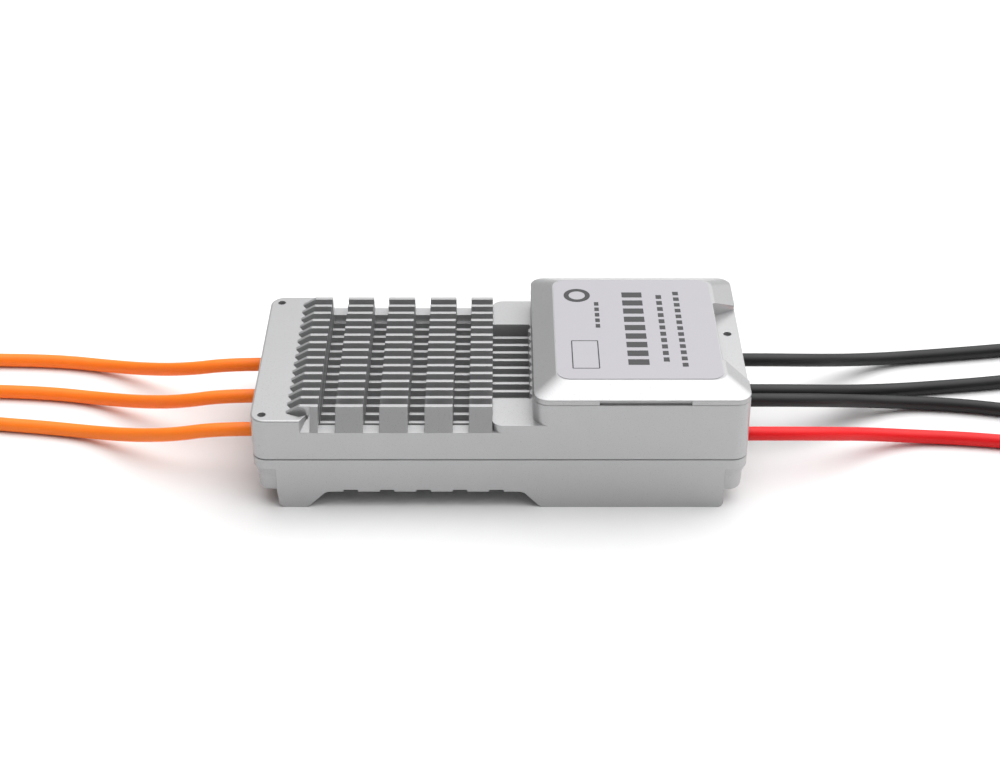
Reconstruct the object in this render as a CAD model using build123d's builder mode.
from build123d import *
import math
import os

# A finned electronic speed controller for a large multirotor motor. X runs from the motor
# end (-X) to the battery end (+X), Y across the case and Z up from the feet. All in mm.

# ---------------------------------------------------------------- driving dimensions
case_length = 150.0
case_width = 74.4
corner_radius = 4.6

# heights above the surface that the feet stand on
belly_z = 5.7  # underside between the feet
ear_z = 5.3  # underside of the four corner ears
ear_top_z = 14.1  # the ears and the slimmer lower case end here
rim_z = 17.3  # top of the lower case
seam = 0.4  # the flat gasket between the two halves
split_z = rim_z + seam
slot_floor_z = 24.8  # the fins are milled down to this in the cross slots
ledge_z = 27.2  # top of the side walls beside the fins
platform_z = 29.8
plate_z = 31.4  # top of the motor-end plate
fin_top_z = 33.8
box_wall_z = 36.9  # walls of the capacitor box
cover_edge_z = 38.6
cover_top_z = 41.7
label_thickness = 0.15

# fin field
fin_count = 15
fin_pitch = 4.586
fin_thickness = 1.35
groove_floor_z = 20.4
tip_x = -64.3  # pointed motor-side end of every groove
ramp_end_x = -60.1  # a fin reaches its full height here
plate_end_x = -59.5
blocks_x = [(-56.9, -54.6), (-49.4, -41.1), (-36.2, -27.7), (-22.6, -14.2), (-9.3, -2.3)]
slots_x = [(-54.6, -49.4), (-41.1, -36.2), (-27.7, -22.6), (-14.2, -9.3)]
platform_start_x = -2.3
box_start_x = 10.0
platform_grooves = 10
groove_end_x = 9.1

# end blocks, cavities and boards
motor_end_x = -66.0
battery_end_x = 66.0
deck_z = 18.5  # inner face above the transistors
board_bottom_z = 14.8
board_thickness = 1.6
board_x = (-61.5, 64.5)
board_half_width = 32.0
standoffs = [(-56.0, 28.5), (-56.0, -28.5), (6.0, 28.5), (6.0, -28.5), (61.0, 29.0), (61.0, -29.0)]

# leads
lead_diameter = 4.4
lead_z = 16.6
exit_reach = 75.8  # outer face of each grommet, from the middle of the case
phase_y = (-19.0, 0.0, 19.0)
battery_negative_y = 21.8
battery_positive_y = -21.6
pwm_y = 2.9
can_y = -2.4
grommet_bore_radius = 3.1
signal_bore_radius = 2.9

half_length, half_width = case_length / 2, case_width / 2
board_top_z = board_bottom_z + board_thickness
fin_field_half = (fin_count - 1) * fin_pitch / 2 + fin_thickness / 2
groove_half = (fin_pitch - fin_thickness) / 2
gap_centres = [(i - (fin_count - 2) / 2) * fin_pitch for i in range(fin_count - 1)]
os.makedirs("parts", exist_ok=True)


def finish(part, name):
    """Label a finished piece and write it as its own STEP file."""
    part.label = name
    export_step(part, f"parts/{name}.step")


# ---------------------------------------------------------------- holes for the leads
signal_y = (pwm_y + can_y) / 2
signal_spacing = pwm_y - can_y

with BuildPart() as lead_holes:
    with BuildSketch(Plane.YZ.offset(-half_length - 1)):
        with Locations(*[(y, lead_z) for y in phase_y]):
            Circle(grommet_bore_radius)
    extrude(amount=12)
    with BuildSketch(Plane.YZ.offset(half_length + 1)):
        with Locations((battery_positive_y, lead_z), (battery_negative_y, lead_z)):
            Circle(grommet_bore_radius)
        with Locations((signal_y, lead_z)):
            SlotCenterToCenter(signal_spacing, 2 * signal_bore_radius)
    extrude(amount=-12)

# ---------------------------------------------------------------- upper case
screw_x, screw_y = 70.6, 32.4  # case screws, in the corner ears
plate_hole = (71.5, 33.5)
ledge_hole = (71.4, 4.4)  # in the ledge at the battery end of the capacitor box
mount_thread_radius = 1.25
mount_thread_depth = 4.6
platform_pocket_half = platform_grooves / 2 * fin_pitch - fin_thickness / 2

with BuildPart() as upper_case:
    with BuildSketch(Plane.XY.offset(split_z)):
        RectangleRounded(case_length, case_width, corner_radius)
    extrude(amount=plate_z - split_z)
    fillet(upper_case.faces().sort_by(Axis.Z)[-1].edges(), 0.6)

    # the plate ends in slanting shoulders, and the rest comes down to the side walls' ledge
    with BuildSketch(Plane.XY.offset(ledge_z)):
        with BuildLine():
            shoulder = [(-60.0, half_width + 1), (-60.0, half_width), (-57.6, fin_field_half)]
            far_side = shoulder + [(plate_end_x, fin_field_half)]
            near_side = [(x, -y) for x, y in reversed(far_side)]
            Polyline(
                *far_side,
                *near_side,
                (half_length + 1, -half_width - 1),
                (half_length + 1, half_width + 1),
                close=True,
            )
        make_face()
    extrude(amount=20, mode=Mode.SUBTRACT)

    # the fin field as a solid slab with ramps at the motor end; the grooves are cut later
    with BuildSketch(Plane.XZ.offset(-fin_field_half)):
        with BuildLine():
            Polyline(
                (plate_end_x, ledge_z),
                (plate_end_x, fin_top_z),
                (platform_start_x, fin_top_z),
                (platform_start_x, ledge_z),
                close=True,
            )
        make_face()
    extrude(amount=2 * fin_field_half)
    for index in range(fin_count):
        fin_y = (index - (fin_count - 1) / 2) * fin_pitch
        with BuildSketch(Plane.XZ.offset(-fin_y - fin_thickness / 2)):
            with BuildLine():
                Polyline(
                    (tip_x, plate_z - 0.2),
                    (tip_x, plate_z),
                    (ramp_end_x, fin_top_z),
                    (plate_end_x, fin_top_z),
                    (plate_end_x, plate_z - 0.2),
                    close=True,
                )
            make_face()
        extrude(amount=fin_thickness)

    # sloping flanks between the ledges and the outermost fins, one on each block
    for start, end in blocks_x:
        with BuildSketch(Plane.YZ.offset(start)):
            with BuildLine():
                Polyline(
                    (-half_width, ledge_z),
                    (-fin_field_half, ledge_z),
                    (-fin_field_half, fin_top_z),
                    close=True,
                )
            make_face()
            mirror(about=Plane.YZ)
        extrude(amount=end - start)

    # a bright facet closes the corner between the plate's shoulder and the first block
    for side in (-1, 1):
        with BuildSketch(Plane.YZ.offset(-60.4)):
            with BuildLine():
                Polyline(
                    (side * half_width, ledge_z),
                    (side * (half_width - 4.3), ledge_z + 3.4),
                    (side * fin_field_half, ledge_z + 3.4),
                    (side * fin_field_half, ledge_z),
                    close=True,
                )
            make_face()
        extrude(amount=blocks_x[0][0] + 60.4)

    # the low platform between the fins and the capacitor box
    with BuildSketch(Plane.XY.offset(ledge_z)) as platform_outline:
        with Locations(((platform_start_x + box_start_x + 4) / 2, 0)):
            Rectangle(box_start_x + 4 - platform_start_x, case_width)
        fillet(platform_outline.vertices().group_by(Axis.X)[0], 3.2)
    extrude(amount=platform_z - ledge_z)
    with BuildSketch(Plane.XY.offset(ledge_z)):
        with Locations(((platform_start_x + groove_end_x) / 2, 0)):
            Rectangle(groove_end_x - platform_start_x, 2 * platform_pocket_half)
    extrude(amount=10, mode=Mode.SUBTRACT)

    # cross slots through the fins, with the side walls left standing at their ledge
    for start, end in slots_x:
        with BuildSketch(Plane.XY.offset(slot_floor_z)):
            with Locations(((start + end) / 2, 0)):
                Rectangle(end - start, 2 * fin_field_half)
        extrude(amount=20, mode=Mode.SUBTRACT)

    # walls of the capacitor box
    with BuildSketch(Plane.XY.offset(split_z)) as box_outline:
        with Locations(((box_start_x + half_length) / 2, 0)):
            RectangleRounded(half_length - box_start_x, case_width, corner_radius)
    extrude(amount=box_wall_z - split_z)

    # grooves between the fins, pointed at the motor end and, on the platform, at the box end
    for gap_y in gap_centres:
        far_y, near_y = gap_y + groove_half, gap_y - groove_half
        with BuildSketch(Plane.XY.offset(groove_floor_z)):
            with BuildLine():
                end_x = groove_end_x if abs(gap_y) < platform_pocket_half else platform_start_x
                Polyline((end_x, far_y), (tip_x, far_y), (tip_x + 2.0, near_y), (end_x, near_y))
                if end_x == groove_end_x:
                    ThreePointArc((end_x, near_y), (end_x + 0.7, gap_y), (end_x, far_y))
                else:
                    Line((end_x, near_y), (end_x, far_y))
            make_face()
        extrude(amount=20, mode=Mode.SUBTRACT)
    for side in (-1, 1):
        with BuildSketch(Plane.XY.offset(ledge_z + 2.2)):
            with BuildLine():
                Polyline(
                    (tip_x, side * fin_field_half),
                    (-57.6, side * fin_field_half),
                    (-57.6, side * (half_width - 3.6)),
                    (-60.2, side * (half_width - 2.4)),
                    close=True,
                )
            make_face()
        extrude(amount=20, mode=Mode.SUBTRACT)

    # the grooves start on a slope, from the plate's surface down to their full depth
    with BuildSketch(Plane.XZ.offset(-fin_field_half + fin_thickness / 2)):
        with BuildLine():
            Polyline(
                (tip_x, groove_floor_z - 0.5),
                (tip_x, plate_z - 0.3),
                (-55.0, groove_floor_z),
                (-55.0, groove_floor_z - 0.5),
                close=True,
            )
        make_face()
    extrude(amount=2 * fin_field_half - fin_thickness)

    # inside: a shallow deck over the transistors and a tall well for the capacitors
    with BuildSketch(Plane.XY.offset(split_z)):
        with Locations(((motor_end_x + battery_end_x) / 2, 0)):
            RectangleRounded(battery_end_x - motor_end_x, 68.4, 3)
    extrude(amount=deck_z - split_z, mode=Mode.SUBTRACT)
    with BuildSketch(Plane.XY.offset(split_z)):
        with Locations(((13.2 + battery_end_x) / 2, 0)):
            RectangleRounded(battery_end_x - 13.2, 67.4, 3)
    extrude(amount=box_wall_z - split_z, mode=Mode.SUBTRACT)

    # threaded mounting holes from above, screw holes from below and the lead holes
    with Locations(*[(-plate_hole[0], side * plate_hole[1], plate_z) for side in (-1, 1)]):
        Hole(mount_thread_radius, depth=mount_thread_depth)
    with Locations((ledge_hole[0], ledge_hole[1], box_wall_z)):
        Hole(mount_thread_radius, depth=mount_thread_depth)
    with BuildSketch(Plane.XY.offset(split_z)):
        with GridLocations(2 * screw_x, 2 * screw_y, 2, 2):
            Circle(1.05)
    extrude(amount=7.2, mode=Mode.SUBTRACT)
    add(lead_holes.part, mode=Mode.SUBTRACT)
finish(upper_case.part, "upper_case")

# ---------------------------------------------------------------- lower case
belly_slots_x = [-45.5, -34.4, -23.3, -12.2, -1.1]
belly_slot_width = 4.4
foot_width = 16.0
shoulder_z = 11.4  # the rim band slopes in to the ears above this
ear_inset = 1.1
cavity_floor_z = 10.2
well_floor_z = 2.6

with BuildPart() as lower_case:
    with BuildSketch(Plane.XY.offset(ear_top_z)):
        RectangleRounded(case_length, case_width, corner_radius)
    extrude(amount=rim_z - ear_top_z)
    for height, inset in ((ear_top_z, 0), (shoulder_z, ear_inset)):
        with BuildSketch(Plane.XY.offset(height)):
            RectangleRounded(case_length - 2 * inset, case_width - inset, corner_radius - inset / 2)
    loft()
    with BuildSketch(Plane.XY.offset(shoulder_z)):
        RectangleRounded(case_length - 2 * ear_inset, case_width - ear_inset, corner_radius - ear_inset / 2)
    extrude(amount=ear_z - shoulder_z, taper=3)
    fillet(lower_case.faces().sort_by(Axis.Z)[0].edges(), 1.8)

    # middle of the case, with the battery-end block that stands on the ground
    with BuildSketch(Plane.XZ.offset(half_width)) as side_profile:
        with BuildLine():
            Polyline(
                (-68.0, ear_top_z),
                (-68.0, belly_z),
                (7.0, belly_z),
                (12.4, 0),
                (68.2, 0),
                (68.2, ear_top_z),
                close=True,
            )
        make_face()
        fillet(side_profile.vertices().group_by(Axis.Y)[0].sort_by(Axis.X)[-1], 1.8)
        fillet(side_profile.vertices().group_by(Axis.Y)[0].sort_by(Axis.X)[0], 2.5)
        fillet(side_profile.vertices().group_by(Axis.Y)[-2].sort_by(Axis.X)[-1], 3.0)
    extrude(amount=-case_width)

    # two motor-end feet
    for side in (-1, 1):
        with BuildSketch(Plane.XZ.offset(-side * half_width)) as foot_profile:
            with BuildLine():
                Polyline(
                    (-68.0, belly_z + 1),
                    (-67.4, 0),
                    (-58.8, 0),
                    (-53.0, belly_z),
                    (-50.0, belly_z),
                    (-50.0, belly_z + 1),
                    close=True,
                )
            make_face()
            fillet(foot_profile.vertices().group_by(Axis.Y)[1].sort_by(Axis.X)[0], 3.0)
            fillet(foot_profile.vertices().group_by(Axis.Y)[0], 2.0)
        extrude(amount=side * foot_width)

    # cooling fins under the belly: long grooves with shallow slots across them
    with BuildSketch(Plane.XY.offset(belly_z)):
        with Locations((-23.3, 0)):
            with GridLocations(0, fin_pitch, 1, 13):
                Rectangle(54.0, fin_pitch - fin_thickness)
    extrude(amount=2.6, mode=Mode.SUBTRACT)
    with BuildSketch(Plane.XY.offset(belly_z)):
        for slot_x in belly_slots_x:
            with Locations((slot_x, 0)):
                Rectangle(belly_slot_width, case_width + 2)
    extrude(amount=0.7, mode=Mode.SUBTRACT)

    # inside: a shallow tray for the board and a well under the capacitors
    with BuildSketch(Plane.XY.offset(cavity_floor_z)):
        with Locations(((motor_end_x + battery_end_x) / 2, 0)):
            RectangleRounded(battery_end_x - motor_end_x, 68.4, 3)
    extrude(amount=rim_z - cavity_floor_z, mode=Mode.SUBTRACT)
    with BuildSketch(Plane.XY.offset(well_floor_z)):
        with Locations((40.5, 0)):
            RectangleRounded(50.0, 66.0, 3)
    extrude(amount=cavity_floor_z - well_floor_z, mode=Mode.SUBTRACT)

    # standoffs under the main board
    for x, y in standoffs:
        floor_z = well_floor_z if x > box_start_x else cavity_floor_z
        with BuildSketch(Plane.XY.offset(floor_z - 0.5)):
            with Locations((x, y)):
                Circle(2.8)
        extrude(amount=board_bottom_z - floor_z + 0.5)
    with Locations(*[(x, y, board_bottom_z) for x, y in standoffs]):
        Hole(1.0, depth=6.0)

    # case screws come up through the ears, and the leads leave through both ends
    with Locations(Plane(origin=(0, 0, ear_z), z_dir=(0, 0, -1))):
        with GridLocations(2 * screw_x, 2 * screw_y, 2, 2):
            CounterBoreHole(1.35, 2.0, 3.0)
    add(lead_holes.part, mode=Mode.SUBTRACT)
finish(lower_case.part, "lower_case")

# ---------------------------------------------------------------- gasket between the halves
with BuildPart() as case_gasket:
    with BuildSketch(Plane.XY.offset(rim_z)):
        RectangleRounded(case_length - 0.3, case_width - 0.3, corner_radius - 0.15)
        with Locations(((motor_end_x + battery_end_x) / 2, 0)):
            RectangleRounded(battery_end_x - motor_end_x + 4, 70.4, 3, mode=Mode.SUBTRACT)
        with GridLocations(2 * screw_x, 2 * screw_y, 2, 2):
            Circle(1.6, mode=Mode.SUBTRACT)
    extrude(amount=seam)
    add(lead_holes.part, mode=Mode.SUBTRACT)
finish(case_gasket.part, "case_gasket")

# ---------------------------------------------------------------- capacitor cover and label
box_length = half_length - box_start_x
box_middle_x = (half_length + box_start_x) / 2
crown_inset = 6.8

with BuildPart() as capacitor_cover:
    with BuildSketch(Plane.XY.offset(box_wall_z)):
        with Locations((box_middle_x, 0)):
            RectangleRounded(box_length - 0.3, case_width - 0.3, corner_radius - 0.15)
    extrude(amount=cover_edge_z - box_wall_z)
    with BuildSketch(Plane.XY.offset(box_wall_z - 2.0)):
        with Locations(((13.2 + battery_end_x) / 2, 0)):
            RectangleRounded(battery_end_x - 13.8, 66.8, 2.8)
    extrude(amount=2.0)
    with BuildSketch(Plane.XY.offset(cover_edge_z)):
        with Locations((box_middle_x, 0)):
            RectangleRounded(box_length, case_width, corner_radius)
    with BuildSketch(Plane.XY.offset(cover_top_z)):
        with Locations((box_middle_x, 0)):
            RectangleRounded(box_length - 2 * crown_inset, case_width - 2 * crown_inset, 4.2)
    loft()
    with BuildSketch(Plane.XY.offset(box_wall_z - 2.0)):
        with Locations(((13.2 + battery_end_x) / 2, 0)):
            RectangleRounded(battery_end_x - 17.4, 63.2, 2)
    extrude(amount=4.2, mode=Mode.SUBTRACT)
    # the cut-out over the battery-end ledge, wider at the outside
    with BuildSketch(Plane.XY.offset(box_wall_z)):
        with BuildLine():
            Polyline(
                (67.5, -18.5),
                (67.5, 15.2),
                (half_length + 1, 19.8),
                (half_length + 1, -27.0),
                close=True,
            )
        make_face()
    extrude(amount=10, mode=Mode.SUBTRACT)
    # a shallow recess under the edge of each long side
    for side in (-1, 1):
        with BuildSketch(Plane.XY.offset(box_wall_z)):
            with Locations((43.3, side * half_width)):
                Rectangle(27.4, 1.8)
        extrude(amount=1.5, mode=Mode.SUBTRACT)
finish(capacitor_cover.part, "capacitor_cover")

with BuildPart() as top_label:
    with BuildSketch(Plane.XY.offset(cover_top_z)):
        with Locations((box_middle_x - 0.4, 0)):
            RectangleRounded(box_length - 2 * crown_inset - 1.4, case_width - 2 * crown_inset - 0.8, 4)
    extrude(amount=label_thickness)
finish(top_label.part, "top_label")

# ---------------------------------------------------------------- screws
with BuildPart() as case_screws:
    with BuildSketch(Plane.XY.offset(ear_z + 0.5)):
        with GridLocations(2 * screw_x, 2 * screw_y, 2, 2):
            Circle(1.9)
    extrude(amount=2.5)
    with BuildSketch(Plane.XY.offset(ear_z + 3.0)):
        with GridLocations(2 * screw_x, 2 * screw_y, 2, 2):
            Circle(1.0)
    extrude(amount=16.0)
    with BuildSketch(Plane.XY.offset(ear_z + 0.5)):
        with GridLocations(2 * screw_x, 2 * screw_y, 2, 2):
            RegularPolygon(1.0, 6)
    extrude(amount=1.4, mode=Mode.SUBTRACT)
finish(case_screws.part, "case_screws")

with BuildPart() as board_screws:
    with BuildSketch(Plane.XY.offset(board_top_z)):
        with Locations(*standoffs):
            Circle(1.9)
    extrude(amount=1.3)
    with BuildSketch(Plane.XY.offset(board_top_z - 5.0)):
        with Locations(*standoffs):
            Circle(0.95)
    extrude(amount=5.0)
finish(board_screws.part, "board_screws")

# ---------------------------------------------------------------- main board and what it carries
with BuildPart() as main_board:
    with BuildSketch(Plane.XY.offset(board_bottom_z)):
        with Locations(((board_x[0] + board_x[1]) / 2, 0)):
            RectangleRounded(board_x[1] - board_x[0], 2 * board_half_width, 2)
        with Locations(*standoffs):
            Circle(1.1, mode=Mode.SUBTRACT)
    extrude(amount=board_thickness)
finish(main_board.part, "main_board")

transistor_height = 1.1
with BuildPart() as power_transistors:
    with BuildSketch(Plane.XY.offset(board_top_z)):
        with Locations((-31.0, 0)):
            with GridLocations(9.0, 8.0, 4, 6):
                Rectangle(6.0, 5.2)
    extrude(amount=transistor_height)
finish(power_transistors.part, "power_transistors")

with BuildPart() as thermal_pad:
    with BuildSketch(Plane.XY.offset(board_top_z + transistor_height)):
        with Locations((-31.0, 0)):
            Rectangle(36.0, 48.0)
    extrude(amount=deck_z - board_top_z - transistor_height)
finish(thermal_pad.part, "thermal_pad")

with BuildPart() as capacitors:
    with BuildSketch(Plane.XY.offset(board_top_z)):
        with Locations((38.0, 0)):
            with GridLocations(12.8, 13.4, 3, 4):
                Circle(6.25)
    extrude(amount=21.5)
    fillet(capacitors.edges().filter_by(GeomType.CIRCLE).group_by(Axis.Z)[-1], 0.8)
finish(capacitors.part, "capacitors")

with BuildPart() as capacitor_tie_bars:
    with BuildSketch(Plane.XY.offset(board_bottom_z - 1.0)):
        with Locations((38.0, 0)):
            with GridLocations(0, 24.0, 1, 2):
                Rectangle(36.0, 6.0)
    extrude(amount=1.0)
finish(capacitor_tie_bars.part, "capacitor_tie_bars")

with BuildPart() as current_shunts:
    with BuildSketch(Plane.XY.offset(board_top_z)):
        with Locations(*[(-9.0, y) for y in phase_y]):
            Rectangle(3.2, 6.4)
    extrude(amount=0.9)
finish(current_shunts.part, "current_shunts")

with BuildPart() as gate_drivers:
    with BuildSketch(Plane.XY.offset(board_bottom_z - 0.9)):
        with Locations(*[(-31.0, y) for y in phase_y]):
            Rectangle(5.0, 5.0)
    extrude(amount=0.9)
finish(gate_drivers.part, "gate_drivers")

with BuildPart() as microcontroller:
    with BuildSketch(Plane.XY.offset(board_bottom_z - 1.4)):
        with Locations((-10.0, 0)):
            Rectangle(9.0, 9.0)
    extrude(amount=1.4)
finish(microcontroller.part, "microcontroller")

with BuildPart() as bus_transceiver:
    with BuildSketch(Plane.XY.offset(board_bottom_z - 1.4)):
        with Locations((58.5, 10.0)):
            Rectangle(5.0, 4.0)
    extrude(amount=1.4)
finish(bus_transceiver.part, "bus_transceiver")

with BuildPart() as supply_inductor:
    with BuildSketch(Plane.XY.offset(board_bottom_z - 4.0)):
        with Locations((26.0, 0)):
            RectangleRounded(7.0, 7.0, 1.2)
    extrude(amount=4.0)
finish(supply_inductor.part, "supply_inductor")

# ---------------------------------------------------------------- lead terminals and grommets
barrel_radius = lead_diameter / 2
terminal_groups = [
    ("phase_terminals", -1, phase_y, board_x[0], 4.4),
    ("battery_terminals", 1, (battery_positive_y, battery_negative_y), board_x[1], 4.4),
    ("signal_terminals", 1, (can_y, pwm_y), board_x[1], 3.0),
]
for name, side, places, board_edge, tab_width in terminal_groups:
    with BuildPart() as terminals:
        with BuildSketch(Plane.YZ.offset(side * exit_reach)):
            with Locations(*[(y, lead_z) for y in places]):
                Circle(barrel_radius)
        extrude(amount=-side * (exit_reach - battery_end_x))
        tab_length = battery_end_x - abs(board_edge) + 5
        with BuildSketch(Plane.XY.offset(board_top_z)):
            with Locations(*[(side * (battery_end_x - tab_length / 2), y) for y in places]):
                Rectangle(tab_length, tab_width)
        extrude(amount=1.3)
    finish(terminals.part, name)

for name, side, places in (
    ("phase_grommets", -1, phase_y),
    ("battery_grommets", 1, (battery_positive_y, battery_negative_y)),
):
    with BuildPart() as grommets:
        with BuildSketch(Plane.YZ.offset(side * half_length)):
            with Locations(*[(y, lead_z) for y in places]):
                Circle(grommet_bore_radius + 0.6)
        extrude(amount=side * (exit_reach - half_length))
        with BuildSketch(Plane.YZ.offset(side * half_length)):
            with Locations(*[(y, lead_z) for y in places]):
                Circle(grommet_bore_radius)
        extrude(amount=-side * 5.0)
        with BuildSketch(Plane.YZ.offset(side * (exit_reach + 1))):
            with Locations(*[(y, lead_z) for y in places]):
                Circle(barrel_radius)
        extrude(amount=-side * 12, mode=Mode.SUBTRACT)
    finish(grommets.part, name)

with BuildPart() as signal_grommet:
    with BuildSketch(Plane.YZ.offset(half_length)):
        with Locations((signal_y, lead_z)):
            SlotCenterToCenter(signal_spacing, 2 * signal_bore_radius + 1.2)
    extrude(amount=exit_reach - half_length)
    with BuildSketch(Plane.YZ.offset(half_length)):
        with Locations((signal_y, lead_z)):
            SlotCenterToCenter(signal_spacing, 2 * signal_bore_radius)
    extrude(amount=-5.0)
    with BuildSketch(Plane.YZ.offset(exit_reach + 1)):
        with Locations((can_y, lead_z), (pwm_y, lead_z)):
            Circle(barrel_radius)
    extrude(amount=-12, mode=Mode.SUBTRACT)
finish(signal_grommet.part, "signal_grommet")

# ---------------------------------------------------------------- free leads
# Each route leaves its grommet level, drops to the ground and runs out along it.
lead_floor_z = 2.3
lead_routes = {
    "phase_lead_front": [
        (-exit_reach, -19.0, lead_z),
        (-88.0, -19.0, lead_z),
        (-102.0, -16.9, 13.0),
        (-117.0, -7.3, 6.4),
        (-132.0, 0.3, 2.6),
        (-147.0, 3.4, lead_floor_z),
        (-162.0, 5.4, lead_floor_z),
        (-174.0, 7.3, lead_floor_z),
    ],
    "phase_lead_middle": [
        (-exit_reach, 0.0, lead_z),
        (-88.0, 0.0, lead_z),
        (-102.0, 2.1, 13.0),
        (-117.0, 12.2, 6.4),
        (-132.0, 20.2, 2.6),
        (-147.0, 23.5, lead_floor_z),
        (-162.0, 24.9, lead_floor_z),
        (-174.0, 25.4, lead_floor_z),
    ],
    "phase_lead_back": [
        (-exit_reach, 19.0, lead_z),
        (-88.0, 19.0, lead_z),
        (-102.0, 21.8, 13.0),
        (-117.0, 32.3, 6.4),
        (-132.0, 40.4, 2.6),
        (-147.0, 43.7, lead_floor_z),
        (-162.0, 44.8, lead_floor_z),
        (-175.0, 45.0, lead_floor_z),
    ],
    "battery_lead_negative": [
        (exit_reach, 21.8, lead_z),
        (88.0, 21.8, lead_z),
        (102.0, 27.4, 13.0),
        (117.0, 38.2, 6.4),
        (132.0, 45.4, 2.6),
        (147.0, 47.8, lead_floor_z),
        (162.0, 49.9, lead_floor_z),
        (176.0, 52.1, lead_floor_z),
    ],
    "battery_lead_positive": [
        (exit_reach, -21.6, lead_z),
        (88.0, -21.6, lead_z),
        (102.0, -16.3, 13.0),
        (117.0, -6.6, 6.4),
        (132.0, -2.1, 2.6),
        (147.0, -2.8, lead_floor_z),
        (162.0, -4.8, lead_floor_z),
        (174.0, -6.9, lead_floor_z),
    ],
    "pwm_cable": [
        (exit_reach, 2.9, lead_z),
        (88.0, 2.9, lead_z),
        (102.0, 8.4, 13.0),
        (117.0, 18.7, 6.4),
        (132.0, 25.6, 2.6),
        (147.0, 27.9, lead_floor_z),
        (162.0, 30.0, lead_floor_z),
        (175.0, 32.4, lead_floor_z),
    ],
    "can_cable": [
        (exit_reach, -2.4, lead_z),
        (88.0, -2.4, lead_z),
        (102.0, 3.0, 13.0),
        (117.0, 12.8, 6.4),
        (132.0, 17.9, 2.6),
        (147.0, 17.2, lead_floor_z),
        (162.0, 14.7, lead_floor_z),
        (174.0, 11.9, lead_floor_z),
    ],
}


def arc_radii(points):
    """The radius at each corner: 0.45 of the shorter run over the tangent of half the turn."""
    radii = []
    for before, corner, after in zip(points, points[1:], points[2:]):
        run_in = Vector(*corner) - Vector(*before)
        run_out = Vector(*after) - Vector(*corner)
        half_turn = math.radians(run_in.get_angle(run_out)) / 2
        radii.append(0.45 * min(run_in.length, run_out.length) / math.tan(half_turn))
    return radii


for name, points in lead_routes.items():
    radii = arc_radii(points)
    print(name, "radii", [round(radius, 1) for radius in radii])
    with BuildPart() as lead:
        with BuildLine() as route:
            FilletPolyline(*points, radius=radii)
        start_direction = Vector(*points[1]) - Vector(*points[0])
        with BuildSketch(Plane(origin=points[0], z_dir=start_direction)):
            Circle(lead_diameter / 2)
        sweep()
    tube = math.pi * lead_diameter**2 / 4 * route.wires()[0].length
    print(name, "length", round(route.wires()[0].length, 1), "fill", round(lead.part.volume / tube, 4))
    finish(lead.part, name)


# ---------------------------------------------------------------- ends of the leads
def end_plane(points):
    """The plane across the end of a route, facing outward with its x direction up."""
    outward = Vector(*points[-1]) - Vector(*points[-2])
    return Plane(origin=points[-1], x_dir=(0, 0, 1), z_dir=outward)


stripped_length = 6.0
for name, leads in (
    ("phase_lead_ends", ["phase_lead_front", "phase_lead_middle", "phase_lead_back"]),
    ("battery_lead_ends", ["battery_lead_positive", "battery_lead_negative"]),
):
    with BuildPart() as tinned_ends:
        for lead_name in leads:
            with BuildSketch(end_plane(lead_routes[lead_name])):
                Circle(1.25)
            extrude(amount=stripped_length)
    finish(tinned_ends.part, name)

plug_length, plug_width, plug_height = 12.0, 7.6, 4.4
for name, lead_name in (("pwm_plug", "pwm_cable"), ("can_plug", "can_cable")):
    with BuildPart() as plug:
        with BuildSketch(end_plane(lead_routes[lead_name])):
            RectangleRounded(plug_height, plug_width, 0.6)
        extrude(amount=plug_length)
    finish(plug.part, name)
